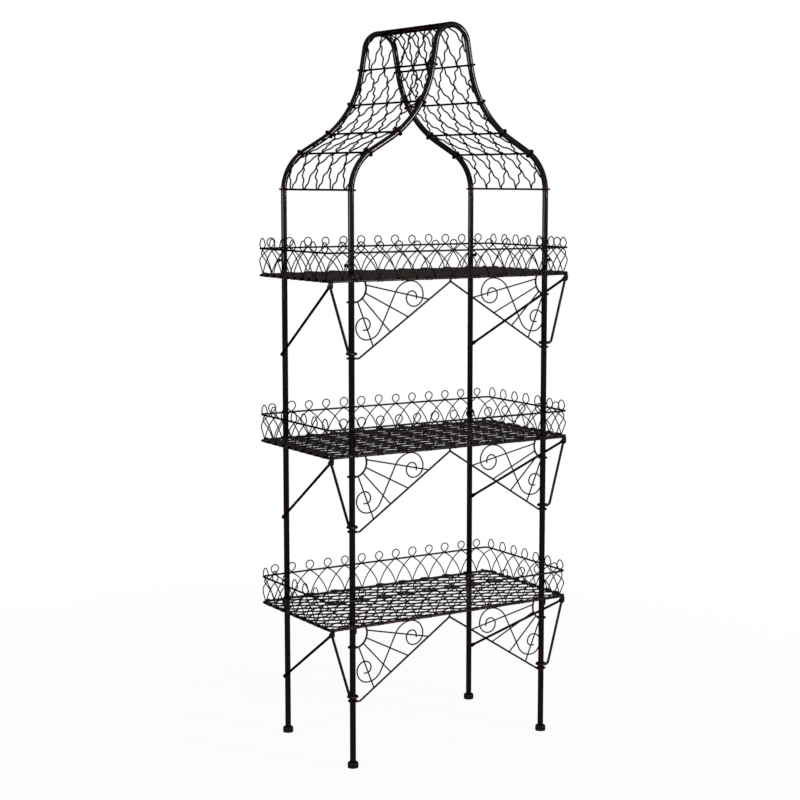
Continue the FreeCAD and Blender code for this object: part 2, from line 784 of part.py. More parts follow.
def all_nodes():
    """Every piece of the rack by name."""
    places = post_places.values()
    nodes = {}
    for name, place in post_places.items():
        nodes["post_" + name] = post(*place)
        nodes["foot_" + name] = foot(*place)
    nodes["spigots"] = Part.Compound([spigot(*place) for place in places])
    lug_height = rim_heights["bottom"]
    screws = [joint_screw(*place) for place in places] + [lug_screw(*place, lug_height) for place in places]
    nodes["joint_screws"] = Part.Compound(screws)
    nodes["bottom_lugs"] = Part.Compound([lug(*place, lug_height) for place in places])
    nodes["front_arch"] = arch(-half_y)
    nodes["rear_arch"] = arch(half_y)
    nodes["ridge_bar"] = ridge_bar()
    ties = Part.Compound([tie_rod(share) for share in tie_rod_shares])
    nodes["tie_rods_left"] = ties
    nodes["tie_rods_right"] = mirrored(ties)
    left_slip, right_slip = canopy_slip_shares
    nodes["canopy_mesh_left"] = canopy_mesh(left_slip)
    nodes["canopy_mesh_right"] = mirrored(canopy_mesh(right_slip))
    for name, z in rim_heights.items():
        fan = Part.Compound([collar(z), diagonal(z)])
        nodes[name + "_rim"] = tray_rim(z)
        nodes[name + "_deck"] = deck(z)
        nodes[name + "_gallery_rail"] = tray_ring(z + rail_rise, rail_diameter)
        for group, hoops in hoop_groups(z).items():
            nodes[name + group] = Part.Compound(hoops)
        nodes[name + "_fan_left"] = fan
        nodes[name + "_fan_right"] = mirrored(fan)
        nodes[name + "_spokes"] = both_sides(Part.Compound(spokes(z)))
        curls = scroll(z)
        nodes[name + "_scroll_left"] = curls
        nodes[name + "_scroll_right"] = mirrored(curls)
        nodes[name + "_struts"] = both_sides(strut(z))
        nodes[name + "_stays"] = both_sides(stay(z))
        nodes[name + "_brace_screws"] = both_sides(Part.Compound(brace_screws(z)))
    return nodes


os.makedirs("parts", exist_ok=True)
for node_name, node_shape in all_nodes().items():
    node_shape.exportStep("parts/" + node_name + ".step")
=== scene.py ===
import json
import math

import bpy
import numpy as np
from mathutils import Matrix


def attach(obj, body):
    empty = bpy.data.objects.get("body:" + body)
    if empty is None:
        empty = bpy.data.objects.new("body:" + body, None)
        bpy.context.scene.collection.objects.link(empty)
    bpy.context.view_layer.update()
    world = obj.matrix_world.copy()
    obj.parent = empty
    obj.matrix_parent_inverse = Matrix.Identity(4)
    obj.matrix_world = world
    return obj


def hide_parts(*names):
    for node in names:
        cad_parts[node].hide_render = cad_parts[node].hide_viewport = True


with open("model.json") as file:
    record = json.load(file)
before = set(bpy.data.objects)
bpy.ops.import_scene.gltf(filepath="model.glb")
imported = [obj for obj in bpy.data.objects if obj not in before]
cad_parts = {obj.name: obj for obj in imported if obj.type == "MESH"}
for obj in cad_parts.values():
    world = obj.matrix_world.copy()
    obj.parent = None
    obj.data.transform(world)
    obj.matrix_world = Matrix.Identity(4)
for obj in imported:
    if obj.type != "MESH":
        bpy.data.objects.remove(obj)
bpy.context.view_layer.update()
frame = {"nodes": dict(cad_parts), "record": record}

# Sizes are in millimetres and angles in degrees. Pieces lie on the solids' lines or close to them,
# and wires and rods are drawn a little heavier, as they look in the photograph.
MM = 0.001
UP, ACROSS, DEEP = np.array([0.0, 0, 1]), np.array([1.0, 0, 0]), np.array([0.0, 1, 0])
hand = np.random.default_rng(seed=5)
dome_share = 0.7
rod_sides, ring_sides, wire_sides = 12, 10, 7

# Posts, arches and their joints
post_x, post_y, post_r = 308.5, 183.0, 8.0
corners = {"front_left": (-1, -1), "front_right": (1, -1),
           "rear_left": (-1, 1), "rear_right": (1, 1)}
foot_sole, joint_z = 4.0, 1319.0
shoulder_z, crest_z = 1524.0, 1961.0
shoulder_bend, flare_bend, crown_bend = (125.0, -60.0), (270.0, 50.0), (49.0, -80.0)
arch_spacing = 1.5
tube_sides, post_stations, leg_stations, arch_stations = 24, 90, 20, 160
knob_z, knob_reach, knob_neck_r, knob_stations = 1337.0, 8.5, 2.4, 6
knob_radii, knob_rings, knob_sides = (4.4, 5.4, 5.4), 8, 14
rub_reach, rubbed_ties = 13.0, 4

# Canopy
tie_r, tie_stations, tie_ring_stations = 2.7, 24, 28
tie_rises = (6.0, 120.5, 225.0, 333.5, 436.5)
canopy_wire_r, canopy_stations = 2.1, 250
canopy_diamonds, canopy_slips = 5, (-0.25, -0.55)
canopy_wave, crimp_drift, crimp_swell = 3.4, 0.5, 0.22
drift_pace, drift_stagger, swell_pace = 1.3, 2.1, 1.7
canopy_lift, canopy_over_share, canopy_weave_share = 2.0, 1.3, 0.7
canopy_top_gap, canopy_overlap, canopy_shortest = 0.5, 2.0, 0.2

# Trays
rim_heights = {"bottom": 383.0, "middle": 840.0, "top": 1297.0}
rim_r, rim_corner, rim_gap = 3.0, 12.0, 0.6
tray_x, tray_y = 381.0, post_y + post_r + rim_gap + rim_r
outline_length = 4 * (tray_x + tray_y) - (8 - 2 * math.pi) * rim_corner
outline_stations = 420
deck_wire_r, deck_lift, deck_stations = 2.3, 2.0, 240
deck_cells, deck_wave = 10, 2.2
cell_x, cell_y = 2 * tray_x / deck_cells, 2 * tray_y / deck_cells
deck_post_gap, deck_bow_share = 0.3, 0.35
deck_layer_share, deck_weave_share = 0.8, 0.2
border_r, border_inset, border_lift, border_sides = 1.6, 2.6, 3.0, 8
wrap_r, wrap_turns, wrap_stations, wrap_sides = 1.7, 2.2, 34, 6
wrap_wide, wrap_tall = rim_r + 1.0, rim_r + 1.2
wrap_start, wrap_pitch, wrap_inset, wrap_lift = 1.8, 3.4, 0.8, 1.8

# Galleries
rail_r, rail_rise = 2.6, 73.0
hoop_r, hoop_count, hoop_reach_share, hoop_press = 1.6, 40, 0.98, 0.75
loop_r, loop_rise, loop_settle = 12.1, 15.9, 0.55
hoop_flare, flare_r = 31.0, 12.0
hoop_vary, loop_vary_share, rise_vary = 1.1, 0.035, 0.5
hoop_leg_stations, neck_stations, loop_stations = 15, 7, 14

# Fan brackets
fan_r, eye_gap = 2.6, 0.15
eye_turn, eye_stations = 296.0, 40
fan_eye = post_r + eye_gap + fan_r
fan_y = -post_y - fan_eye
collar_drop, collar_run, collar_bend = 55.0, 1.0, 37.0
diagonal_drop, diagonal_run, diagonal_bend = 201.0, 5.0, 6.0
meeting_x, meeting_drop = -9.0, 9.3
hook_sink, hook_stations, hook_bead = 1.0, 6, (4.4, 3.2, 3.4)
spoke_r, spoke_stations, spoke_bead = 1.95, 12, 2.1
spoke_angles = (-9.0, 22.0, 47.0, 72.0)
spoke_shares = (0.762, 0.533, 0.338, 0.153)
scroll_r, scroll_gap, scroll_spacing = 1.9, 0.05, 2.5
scroll_reach, scroll_drop, scroll_lean, scroll_tip = 107.0, 79.5, 64.0, 7.0
# Each curl is its stem, bow radius, first quarter's radius, tightening share and count of quarters
upper_curl = (50.0, 54.0, 38.0, 0.775, 5)
lower_curl = (55.0, 45.0, 33.0, 0.745, 4)

# Side braces
brace_r, brace_inset, brace_drop = 3.65, 6.0, 13.0
brace_hole = np.array([brace_inset - tray_x, -post_y - post_r - eye_gap, -brace_drop])
brace_bead = (5.0, 1.7, 5.0)
strut_drop, strut_run, strut_corner, strut_seat = 189.0, 3.0, 9.0, 1.5
bend_stations, strut_stations = 10, 30
stay_drop, stay_seat, stay_offset = 220.0, 4.5, 2.2
tongue_r, tongue_length, tongue_share = 6.0, 22.0, 0.4
plain_share, plain_stations, tongue_stations = 0.93, 30, 14


# Wire and tube surfaces

def unit(vectors):
    """Each vector over its own length."""
    return vectors / np.linalg.norm(vectors, axis=-1, keepdims=True)


def sleeve(paths, bind, radius, sides, closed=False, dome=1.0):
    """Round rod carried along paths.

    Paths are rows of points. The tangent is the difference of a point's neighbours, the side
    vector is tangent cross bind and the third is side cross tangent, all at length one. The ring
    about each point is radius times (cos a side + sin a third). An open rod ends in a dome: a ring
    of 0.7 radius pushed out by 0.7 dome radii, and a pole pushed out by one. Radius may be one
    number or one for each point.
    """
    paths = np.asarray(paths, float)
    paths = paths[None] if paths.ndim == 2 else paths
    bind = np.broadcast_to(bind, paths.shape)
    radius = np.broadcast_to(np.asarray(radius, float), paths.shape[:2])
    if closed:
        tangent = unit(np.roll(paths, -1, 1) - np.roll(paths, 1, 1))
    else:
        tangent = unit(np.gradient(paths, axis=1))
        outward = tangent[:, [0, -1]] * np.array([-1.0, 1.0])[:, None]
        push = dome_share * dome * radius[:, [0, -1], None] * outward
        ends = paths[:, [0, -1]] + push
        poles = paths[:, [0, -1]] + push / dome_share
        paths = np.concatenate([ends[:, :1], paths, ends[:, 1:]], 1)
        caps = dome_share * radius[:, [0, -1]]
        radius = np.concatenate([caps[:, :1], radius, caps[:, 1:]], 1)
        tangent = np.concatenate([tangent[:, :1], tangent, tangent[:, -1:]], 1)
        bind = np.concatenate([bind[:, :1], bind, bind[:, -1:]], 1)
    side = unit(np.cross(tangent, bind))
    third = np.cross(side, tangent)
    angle = np.linspace(0, 2 * np.pi, sides, endpoint=False)[:, None]
    ring = np.cos(angle) * side[:, :, None] + np.sin(angle) * third[:, :, None]
    skin = paths[:, :, None] + radius[:, :, None, None] * ring
    wires, rings = skin.shape[:2]
    steps = rings if closed else rings - 1
    here, turn = np.meshgrid(np.arange(steps), np.arange(sides), indexing="ij")
    ahead, over = (here + 1) % rings, (turn + 1) % sides
    quads = np.stack([here * sides + turn, ahead * sides + turn,
                      ahead * sides + over, here * sides + over], -1).reshape(-1, 4)
    points = skin.reshape(wires, -1, 3)
    tris = np.empty((0, 3), int)
    if not closed:
        k = np.arange(sides)
        last = (rings - 1) * sides
        first_pole = np.full(sides, rings * sides)
        tris = np.concatenate([np.stack([first_pole, k, (k + 1) % sides], -1),
                               np.stack([first_pole + 1, last + (k + 1) % sides, last + k], -1)])
        points = np.concatenate([points, poles], 1)
    base = (np.arange(wires) * points.shape[1])[:, None, None]
    return points.reshape(-1, 3), (quads + base).reshape(-1, 4), (tris + base).reshape(-1, 3)


def bead(places, radii, rings=6, sides=10):
    """Weld beads: at each place an ellipsoid, closed at both poles.

    Its points are (rx cos p cos a, ry cos p sin a, rz sin p).
    """
    places = np.atleast_2d(places)
    radii = np.broadcast_to(radii, places.shape)
    p = np.linspace(-np.pi / 2, np.pi / 2, rings + 2)[1:-1, None]
    a = np.linspace(0, 2 * np.pi, sides, endpoint=False)[None]
    ball = np.stack([np.cos(p) * np.cos(a), np.cos(p) * np.sin(a), np.sin(p) + 0 * a], -1)
    ball = np.concatenate([ball.reshape(-1, 3), [[0, 0, -1], [0, 0, 1]]])
    i, k = np.meshgrid(np.arange(rings - 1), np.arange(sides), indexing="ij")
    quads = np.stack([i * sides + k, i * sides + (k + 1) % sides,
                      (i + 1) * sides + (k + 1) % sides, (i + 1) * sides + k], -1).reshape(-1, 4)
    k = np.arange(sides)
    low = np.full(sides, rings * sides)
    top = (rings - 1) * sides
    tris = np.concatenate([np.stack([low, (k + 1) % sides, k], -1),
                           np.stack([low + 1, top + k, top + (k + 1) % sides], -1)])
    points = places[:, None] + radii[:, None] * ball
    base = (np.arange(len(places)) * len(ball))[:, None, None]
    return points.reshape(-1, 3), (quads + base).reshape(-1, 4), (tris + base).reshape(-1, 3)


def mirrored(parts):
    """The parts on the other side: x changes sign and each face is listed backwards."""
    flip = np.array([-1.0, 1, 1])
    return [(points * flip, quads[:, ::-1], tris[:, ::-1]) for points, quads, tris in parts]


def raised(parts, height):
    """The parts moved up by a height."""
    return [(points + UP * height, quads, tris) for points, quads, tris in parts]


def piece(name, parts, finish, slot, *nodes, joints=None):
    """One smooth mesh of all the parts, standing for the named solids.

    Where joints are given, each point's attribute rubbed is exp(-(d / reach)^2), d the distance to
    the nearest of them.
    """
    counts = np.cumsum([0] + [len(points) for points, _, _ in parts])
    points = np.concatenate([points for points, _, _ in parts]) * MM
    quads = np.concatenate([quads + n for (_, quads, _), n in zip(parts, counts)])
    tris = np.concatenate([tris + n for (_, _, tris), n in zip(parts, counts)])
    mesh = bpy.data.meshes.new(name)
    mesh.vertices.add(len(points))
    mesh.vertices.foreach_set("co", points.ravel())
    mesh.loops.add(quads.size + tris.size)
    mesh.loops.foreach_set("vertex_index", np.concatenate([quads.ravel(), tris.ravel()]))
    mesh.polygons.add(len(quads) + len(tris))
    starts = np.concatenate([np.arange(len(quads)) * 4, quads.size + np.arange(len(tris)) * 3])
    mesh.polygons.foreach_set("loop_start", starts)
    mesh.update(calc_edges=True)
    mesh.polygons.foreach_set("use_smooth", np.ones(len(starts), bool))
    if joints is not None:
        nearest = np.linalg.norm(points[:, None] / MM - joints[None], axis=-1).min(1)
        rubbed = mesh.attributes.new("rubbed", "FLOAT", "POINT")
        rubbed.data.foreach_set("value", np.exp(-(nearest / rub_reach) ** 2))
    obj = bpy.data.objects.new(name, mesh)
    bpy.context.collection.objects.link(obj)
    mesh.materials.append(finish)
    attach(obj, "root")
    if nodes:
        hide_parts(*nodes)


# Paths

def walk(x, z, heading, moves, spacing=3.0, arc_step=7.0, least_steps=4):
    """Points of a walk in an upright plane, and the heading at each.

    A move is (length,) for a straight run or (radius, turn) for an arc with left turns positive:
    x + side (sin h - sin h0), z - side (cos h - cos h0), where side is the radius with the turn's
    sign.
    """
    points = [np.array([[x, z, heading]])]
    for move in moves:
        start = math.radians(heading)
        if len(move) == 1:
            run = move[0] * np.linspace(0, 1, max(2, int(move[0] / spacing) + 1))[1:]
            leg = np.stack([x + run * math.cos(start), z + run * math.sin(start),
                            heading + 0 * run], -1)
        else:
            radius, turn = move
            length = radius * abs(math.radians(turn))
            steps = max(least_steps, int(length / spacing) + 1, int(abs(turn) / arc_step))
            end = np.radians(heading + turn * np.linspace(0, 1, steps + 1)[1:])
            side = math.copysign(radius, turn)
            leg = np.stack([x + side * (np.sin(end) - math.sin(start)),
                            z - side * (np.cos(end) - math.cos(start)), np.degrees(end)], -1)
        points.append(leg)
        x, z, heading = leg[-1]
    return np.concatenate(points)


def upright(points, y):
    """Walk points as places in the plane at depth y."""
    return np.stack([points[:, 0], np.full(len(points), y), points[:, 1]], -1)


def ogee_moves():
    """Half an arch from its shoulder to its crest.

    The straight flank and neck between its three bends close the span and the height.
    """
    x, z, heading = -post_x, shoulder_z, 90.0
    headings = []
    for bend in (shoulder_bend, flare_bend, crown_bend):
        x, z, heading = walk(x, z, heading, [bend])[-1]
        headings.append(math.radians(heading))
    runs = np.array([[math.cos(h) for h in headings[:2]], [math.sin(h) for h in headings[:2]]])
    flank, neck = np.linalg.solve(runs, [-x, crest_z - z])
    return [shoulder_bend, (flank,), flare_bend, (neck,), crown_bend]


arch_half = walk(-post_x, shoulder_z, 90.0, ogee_moves(), arch_spacing)
arch_rise = np.concatenate([[0], np.cumsum(np.hypot(*np.diff(arch_half[:, :2], axis=0).T))])
crest_rise = arch_rise[-1]


def on_arch(rise):
    """x, z and heading along the left half of an arch, straight down below its shoulder."""
    x, z, heading = (np.interp(rise, arch_rise, arch_half[:, i]) for i in range(3))
    return x, z + np.minimum(rise, 0), np.radians(heading)


def arch_outward(heading):
    """The direction out of the arch's slope: a quarter turn to the left of the heading."""
    return np.stack([-np.sin(heading), 0 * heading, np.cos(heading)], -1)


def on_outline(distance):
    """Place and outward direction on a tray's outline, by distance from the middle of its front.

    The outline is straight runs and quarter circles: on a run the heading is fixed, on a corner it
    turns by distance over the corner's radius.
    """
    x_run, y_run, arc = tray_x - rim_corner, tray_y - rim_corner, rim_corner * math.pi / 2
    lengths = np.array([x_run, arc, 2 * y_run, arc, 2 * x_run, arc, 2 * y_run, arc, x_run])
    starts = np.concatenate([[0], np.cumsum(lengths)])
    d = np.mod(distance, starts[-1])
    leg = np.clip(np.searchsorted(starts, d, side="right") - 1, 0, len(lengths) - 1)
    past = d - starts[leg]
    corner = leg % 2 == 1
    heading = (leg // 2) * math.pi / 2 + np.where(corner, past / rim_corner, 0)
    out = np.stack([np.sin(heading), -np.cos(heading)], -1)
    corner_x = np.array([0, 1, 1, 1, 0, -1, -1, -1, 0])[leg] * x_run
    corner_y = np.array([-1, -1, 0, 1, 1, 1, 0, -1, -1])[leg] * y_run
    slide = np.where(corner, 0, past - np.array([0, 0, y_run, 0, x_run, 0, y_run, 0, x_run])[leg])
    x = corner_x + rim_corner * out[..., 0] + slide * np.cos(heading)
    y = corner_y + rim_corner * out[..., 1] + slide * np.sin(heading)
    return x, y, out


def eye_path(z, radius, side):
    """An open ring round the front left post.

    It ends at the post's front, going to the right for side 1 and to the left for side -1.
    """
    angle = np.radians(-90.0 - side * np.linspace(eye_turn, 0.0, eye_stations))
    return np.stack([-post_x + radius * np.cos(angle), -post_y + radius * np.sin(angle),
                     np.full(eye_stations, z)], -1)


# Node trees

def add(tree, kind, inputs=(), **settings):
    """A new node with its settings; inputs maps its sockets to values or other nodes' outputs."""
    node = tree.nodes.new(kind)
    for key, value in settings.items():
        setattr(node, key, value)
    for key, value in dict(inputs).items():
        if isinstance(value, bpy.types.NodeSocket):
            tree.links.new(value, node.inputs[key])
        else:
            node.inputs[key].default_value = value
    return node


def calc(tree, operation, *values, clamp=False):
    """One step of arithmetic on numbers or outputs."""
    node = add(tree, "ShaderNodeMath", enumerate(values), operation=operation, use_clamp=clamp)
    return node.outputs[0]


def noise(tree, place, scale, detail, rough):
    """A noise at a place."""
    values = {"Vector": place, "Scale": scale, "Detail": detail, "Roughness": rough}
    return add(tree, "ShaderNodeTexNoise", values).outputs["Fac"]


def ramp(tree, value, start, end, low, high):
    """From low to high as a value goes from start to end, and held beyond."""
    values = {"Value": value, "From Min": start, "From Max": end, "To Min": low, "To Max": high}
    return add(tree, "ShaderNodeMapRange", values).outputs["Result"]


# Finishes

def bronze(name, black, brown, rub, patch, low_brown, rough, grain, edge=0.12):
    """Rubbed bronze: near-black metal paint with brown where it is rubbed thin.

    The rub is a noise of the given patch size, raised towards the floor by low_brown and near a
    joint by the attribute rubbed. A fine noise shades the colour, another the gloss, which is
    duller where the brown shows, and a grain of pimples gives the bump. Edge holds down the gloss
    edge-on. Patch sizes and heights are in metres here.
    """
    joint_rub, brown_dull, fine_share, cool_share = 0.65, 0.22, 0.5, 0.85
    worn_from, worn_full, brown_top, brown_foot = 0.50, 0.72, 0.95, 0.25
    shiny, dullest, pimple_height = 0.8, 1.3, 0.0006
    finish = bpy.data.materials.new(name)
    finish.use_nodes = True
    tree = finish.node_tree
    paint = tree.nodes["Principled BSDF"]
    paint.inputs["Metallic"].default_value = 1.0
    paint.inputs["Specular Tint"].default_value = (edge, cool_share * edge, cool_share * edge, 1)
    place = add(tree, "ShaderNodeTexCoord").outputs["Object"]
    height = add(tree, "ShaderNodeSeparateXYZ", {"Vector": place}).outputs["Z"]
    patches = noise(tree, place, scale=1 / patch, detail=5.0, rough=0.62)
    worn = ramp(tree, patches, worn_from, worn_full, 0.0, rub)
    worn = calc(tree, "ADD", worn, ramp(tree, height, brown_top, brown_foot, 0.0, low_brown))
    rubbed = add(tree, "ShaderNodeAttribute", attribute_name="rubbed").outputs["Fac"]
    browned = calc(tree, "MULTIPLY_ADD", rubbed, joint_rub, worn, clamp=True)
    fine = noise(tree, place, scale=420.0, detail=3.0, rough=0.6)
    offset = calc(tree, "SUBTRACT", browned, fine_share / 2)
    thin = calc(tree, "MULTIPLY_ADD", fine, fine_share, offset, clamp=True)
    colours = {"Factor": thin, 6: (*black, 1), 7: (*brown, 1)}
    colour = add(tree, "ShaderNodeMix", colours, data_type="RGBA").outputs[2]
    sheen = noise(tree, place, scale=70.0, detail=4.0, rough=0.6)
    gloss = ramp(tree, sheen, 0.3, 0.7, shiny * rough, dullest * rough)
    dull = calc(tree, "MULTIPLY_ADD", browned, brown_dull, gloss)
    pimples = noise(tree, place, scale=900.0, detail=2.0, rough=0.5)
    relief = {"Strength": grain, "Distance": pimple_height, "Height": pimples}
    bump = add(tree, "ShaderNodeBump", relief).outputs["Normal"]
    for socket, output in (("Base Color", colour), ("Roughness", dull), ("Normal", bump)):
        tree.links.new(output, paint.inputs[socket])
    return finish


# The arch tubes' black is lighter than the posts': a painted sheen that strengthens the highlight
# lines on the arches. Their brown rub is wear.
tube_bronze_painted_sheen = bronze("tube_bronze_painted_sheen", (0.0115, 0.0109, 0.0108), (0.026, 0.0082, 0.0088),
                     rub=0.12, patch=0.11, low_brown=0.00, rough=0.07, grain=0.005)
# The posts' black is darker than the arches': painted shade. Their brown rub is wear.
post_bronze_painted_shade = bronze("post_bronze_painted_shade", (0.0068, 0.0063, 0.0062), (0.018, 0.0064, 0.0068),
                     rub=0.60, patch=0.16, low_brown=0.30, rough=0.10, grain=0.010)
ridge_bronze = bronze("ridge_bronze", (0.0270, 0.0135, 0.0120), (0.044, 0.0190, 0.0160),
                      rub=0.80, patch=0.05, low_brown=0.00, rough=0.20, grain=0.03)
rod_bronze = bronze("rod_bronze", (0.0085, 0.0079, 0.0076), (0.028, 0.0120, 0.0100),
                    rub=0.50, patch=0.07, low_brown=0.30, rough=0.22, grain=0.10)
wire_black = bronze("wire_black", (0.0085, 0.0080, 0.0077), (0.024, 0.0120, 0.0100),
                    rub=0.45, patch=0.05, low_brown=0.05, rough=0.28, grain=0.12)
# The decks' black is lighter than the other wires': a painted sheen on the decks. Their brown rub
# is wear.
deck_black_painted_sheen = bronze("deck_black_painted_sheen", (0.0150, 0.0141, 0.0137), (0.030, 0.0160, 0.0135),
                    rub=0.40, patch=0.06, low_brown=0.05, rough=0.42, grain=0.15, edge=0.7)
screw_black = bronze("screw_black", (0.0110, 0.0100, 0.0095), (0.030, 0.0130, 0.0100),
                     rub=0.35, patch=0.02, low_brown=0.0, rough=0.32, grain=0.20)
foot_black = bronze("foot_black", (0.0100, 0.0098, 0.0098), (0.018, 0.0150, 0.0140),
                    rub=0.50, patch=0.02, low_brown=0.0, rough=0.42, grain=0.25)


# Posts and arches

def post_tube(x, y):
    """A straight post from its foot to the sleeve joint."""
    z = np.linspace(foot_sole, joint_z, post_stations)
    path = np.stack([np.full(post_stations, x), np.full(post_stations, y), z], -1)
    return sleeve(path, DEEP, post_r, tube_sides, dome=0.0)


def arch_tube(y):
    """An ogee arch: leg, shoulder, flank, flare, neck and crown, then the same mirrored."""
    rise = np.concatenate([np.linspace(joint_z - shoulder_z, 0, leg_stations)[:-1],
                           np.linspace(0, crest_rise, arch_stations)])
    x, z, _ = on_arch(rise)
    x, z = np.concatenate([x, -x[-2::-1]]), np.concatenate([z, z[-2::-1]])
    path = np.stack([x, np.full(len(x), y), z], -1)
    return sleeve(path, DEEP, post_r, tube_sides, dome=0.0)


def rubbed_places():
    """Where rods and rims touch the tubes.

    They are the lower tie rods on the arches, and the rims, collars and diagonals on the posts.
    """
    x, z, _ = on_arch(np.array(tie_rises[:rubbed_ties]))
    drops = (0.0, collar_drop, diagonal_drop)
    heights = [rim - drop for rim in rim_heights.values() for drop in drops]
    posts = np.stack([np.full(len(heights), -post_x), heights], -1)
    left = np.concatenate([np.stack([x, z], -1), posts])
    return np.array([[sx * px, sy * post_y, pz] for px, pz in left for sx, sy in corners.values()])


def joint_knobs():
    """Thumb screws on the joints' outer sides: a neck on each screw head and a ball at its end."""
    head_x = post_x + post_r + knob_reach
    heads = np.array([[sx * head_x, sy * post_y, knob_z] for sx, sy in corners.values()])
    inner = heads * np.array([post_x / head_x, 1, 1])
    share = np.linspace(0, 1, knob_stations)[:, None]
    necks = inner[:, None] + (heads - inner)[:, None] * share
    balls = bead(heads, knob_radii, knob_rings, knob_sides)
    return [sleeve(necks, UP, knob_neck_r, ring_sides), balls]


rub_places = rubbed_places()
for corner, (sx, sy) in corners.items():
    piece("post_tube_" + corner, [post_tube(sx * post_x, sy * post_y)], post_bronze_painted_shade, "tube",
          "post_" + corner, joints=rub_places)
piece("arch_tube_front", [arch_tube(-post_y)], tube_bronze_painted_sheen, "tube", "front_arch", joints=rub_places)
piece("arch_tube_rear", [arch_tube(post_y)], tube_bronze_painted_sheen, "tube", "rear_arch", joints=rub_places)
piece("joint_knobs", joint_knobs(), screw_black, "fasteners")


# Canopy

def tie_rods():
    """Rods across the left slope, each with a ring round both arch tubes."""
    x, z, heading = on_arch(np.array(tie_rises))
    ring_r = post_r + eye_gap + tie_r
    y = np.linspace(-post_y + ring_r, post_y - ring_r, tie_stations)
    rods = np.stack(np.broadcast_arrays(x[:, None], y[None], z[:, None]), -1)
    angle = np.linspace(0, 2 * np.pi, tie_ring_stations, endpoint=False)[None, :, None]
    along = np.stack([np.cos(heading), 0 * heading, np.sin(heading)], -1)[:, None]
    out = arch_outward(heading)[:, None]
    parts = [sleeve(rods, UP, tie_r, rod_sides)]
    for depth in (-post_y, post_y):
        middle = np.stack([x, np.full(len(x), depth), z], -1)[:, None]
        rings = middle + ring_r * (np.cos(angle) * out + np.sin(angle) * DEEP)
        parts.append(sleeve(rings, along, tie_r, ring_sides, closed=True))
    return parts


def canopy_wires(slip):
    """Crimped wires of the left slope, the mesh slipped along the depth by a share of a diamond.

    In the flat sheet a wire climbs half a diamond across the depth for each half bay between the
    tie rods, with a sine of four half waves in each, sideways, made uneven by two slower sines. The
    sheet is laid on the arch, and the wire passes over and under its neighbours: the lift swings by
    a cosine from crossing to crossing.
    """
    bays = len(tie_rises)
    rises = np.array([*tie_rises, crest_rise - post_r - canopy_top_gap])
    half_cell = post_y / canopy_diamonds
    reach = canopy_diamonds - (post_r - canopy_overlap) / half_cell
    paths, binds = [], []
    for lean in (1, -1):
        for index in range(canopy_diamonds + 1, -canopy_diamonds - 2 * bays - 2, -2):
            middle = -lean * 2 * slip - index
            first, last = max(0.0, middle - reach), min(2.0 * bays, middle + reach)
            if last - first < canopy_shortest:
                continue
            t = np.linspace(first, last, canopy_stations)
            bay = np.clip(t // 2, 0, bays - 1).astype(int)
            bay_rise = np.diff(rises)[bay]
            run = unit(np.stack([bay_rise / 2, np.full(canopy_stations, lean * half_cell)], -1))
            drift = crimp_drift * np.sin(drift_pace * t + drift_stagger * index)
            swell = 1 + crimp_swell * np.sin(swell_pace * t + index)
            swing = canopy_wave * np.sin(4 * np.pi * t + drift) * swell
            rise = rises[bay] + bay_rise * (t / 2 - bay) - run[:, 1] * swing
            y = lean * half_cell * (t + index) + 2 * slip * half_cell + run[:, 0] * swing
            x, z, heading = on_arch(rise)
            out = arch_outward(heading)
            weave = canopy_over_share + canopy_weave_share * lean * np.cos(np.pi * t)
            lift = canopy_lift + canopy_wire_r * weave
            paths.append(np.stack([x, y, z], -1) + lift[:, None] * out)
            binds.append(out)
    return [sleeve(np.array(paths), np.array(binds), canopy_wire_r, wire_sides)]


ties = tie_rods()
piece("tie_rods_left_rounded", ties, rod_bronze, "rod", "tie_rods_left")
piece("tie_rods_right_rounded", mirrored(ties), rod_bronze, "rod", "tie_rods_right")
mesh_left, mesh_right = (canopy_wires(slip) for slip in canopy_slips)
piece("canopy_wires_left", mesh_left, wire_black, "wire", "canopy_mesh_left")
piece("canopy_wires_right", mirrored(mesh_right), wire_black, "wire", "canopy_mesh_right")


# Trays

def ring_round_tray(radius, sides, inset=0.0, lift=0.0):
    """A closed rod on the tray's outline, moved in and up."""
    x, y, out = on_outline(np.linspace(0, outline_length, outline_stations, endpoint=False))
    path = np.stack([x - inset * out[:, 0], y - inset * out[:, 1], np.full(len(x), lift)], -1)
    return [sleeve(path, UP, radius, sides, closed=True)]


def deck_lines():
    """The straight lines of the deck's two families of wires, with the range of t on each.

    On a line x / cell and y / cell add up, or take away, to a whole number; t is the other of the
    two, so crossings are at whole t and the rim's axis too.
    """
    run = unit(np.array([cell_x, cell_y]))
    contact = math.sqrt(rim_r ** 2 - deck_wire_r ** 2 / 4)
    reach_x = 2 * (tray_x - contact - deck_wire_r * run[1]) / cell_x
    reach_y = 2 * (tray_y - contact - deck_wire_r * run[0]) / cell_y
    for lean in (1, -1):
        for index in range(1 - deck_cells, deck_cells):
            first = max(-reach_x - index, index - reach_y)
            last = min(reach_x - index, index + reach_y)
            yield lean, index, first, last


def deck_place(lean, index, t):
    """Place on a deck line at t, and the direction sideways to it."""
    x, y = cell_x * (index + t) / 2, lean * cell_y * (index - t) / 2
    run = unit(np.array([cell_x, -lean * cell_y]))
    return x, y, np.array([-run[1], run[0]])


